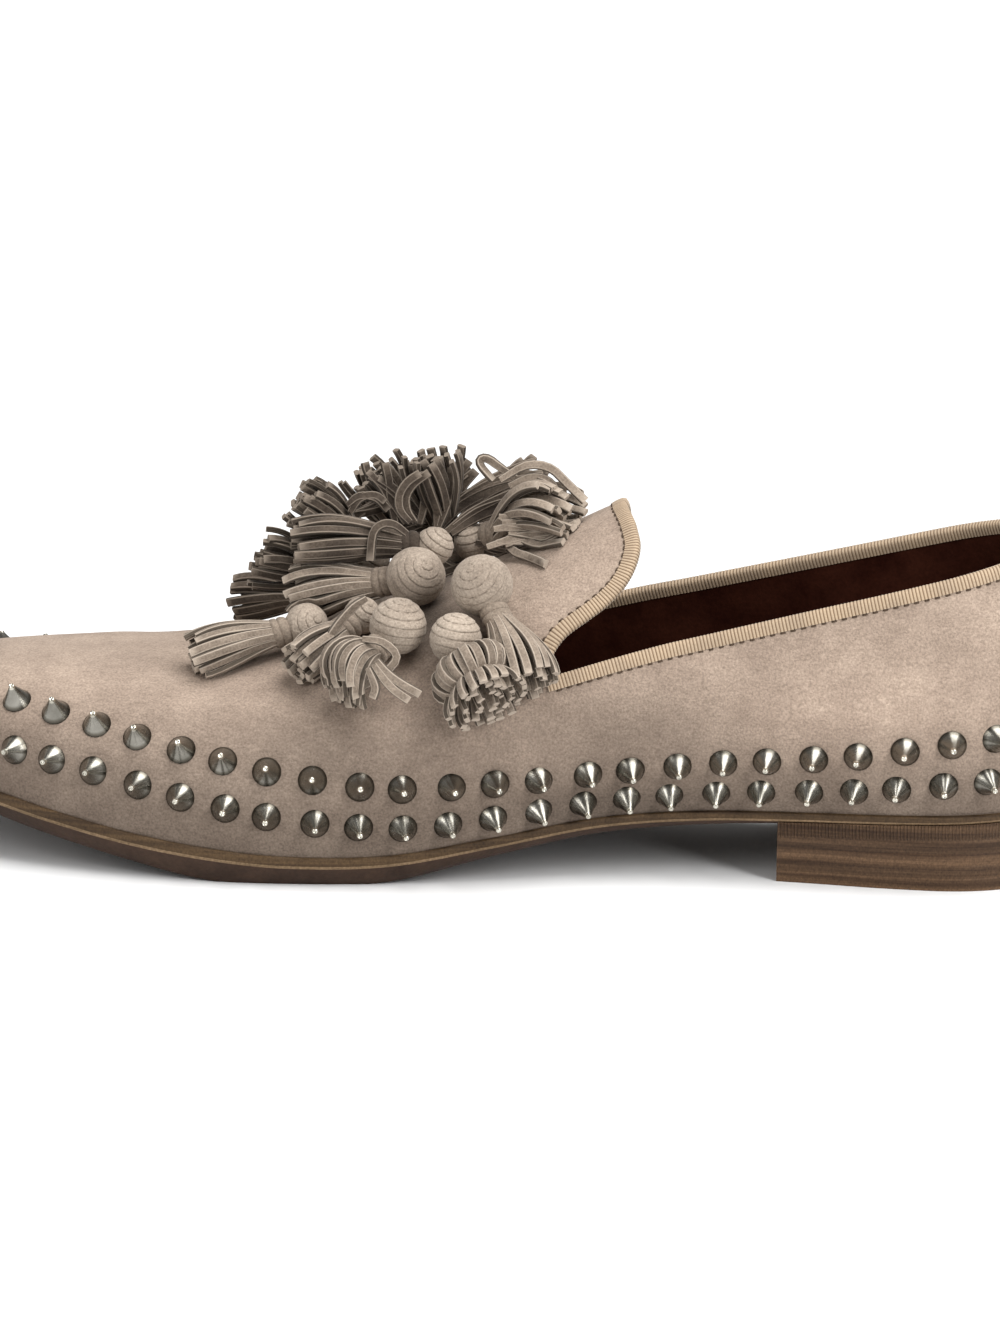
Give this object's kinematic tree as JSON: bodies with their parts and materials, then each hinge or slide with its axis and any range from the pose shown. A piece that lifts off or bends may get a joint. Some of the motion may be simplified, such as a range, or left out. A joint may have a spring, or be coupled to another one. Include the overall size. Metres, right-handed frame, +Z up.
{
  "type": "tassel loafer",
  "caption": "Right slip-on loafer: hollow suede slipper upper with bound topline, studded sides, a burst of tassels on the vamp, thin leather sole and low stacked heel.",
  "frame": {"origin": "on the floor under the middle of the shoe's box", "axes": "+X from toe to heel, -Y towards the medial side, +Z up"},
  "size_m": [0.3094, 0.1166, 0.098],
  "materials": {
    "suede": "napped taupe suede",
    "stud_metal": "antique pewter, turned",
    "ribbon": "ribbed tan ribbon",
    "lining_leather": "smooth dark red-brown lining",
    "sole_leather": "burnished brown sole leather",
    "heel_leather": "stacked brown leather, polished edge"
  },
  "bodies": {
    "root": {"upper": "suede", "topline_binding": "ribbon", "insole": "lining_leather", "outsole": "sole_leather", "heel_lift_1": "heel_leather", "heel_lift_2": "heel_leather", "heel_lift_3": "heel_leather", "heel_lift_4": "heel_leather", "heel_top_piece": "heel_leather", "tassel_01": "suede", "tassel_02": "suede", "tassel_03": "suede", "tassel_04": "suede", "tassel_05": "suede", "tassel_06": "suede", "tassel_07": "suede", "tassel_08": "suede", "tassel_09": "suede", "tassel_10": "suede", "tassel_11": "suede", "tassel_12": "suede", "tassel_13": "suede", "tassel_14": "suede", "tassel_15": "suede", "tassel_16": "suede"}
  },
  "joints": []
}
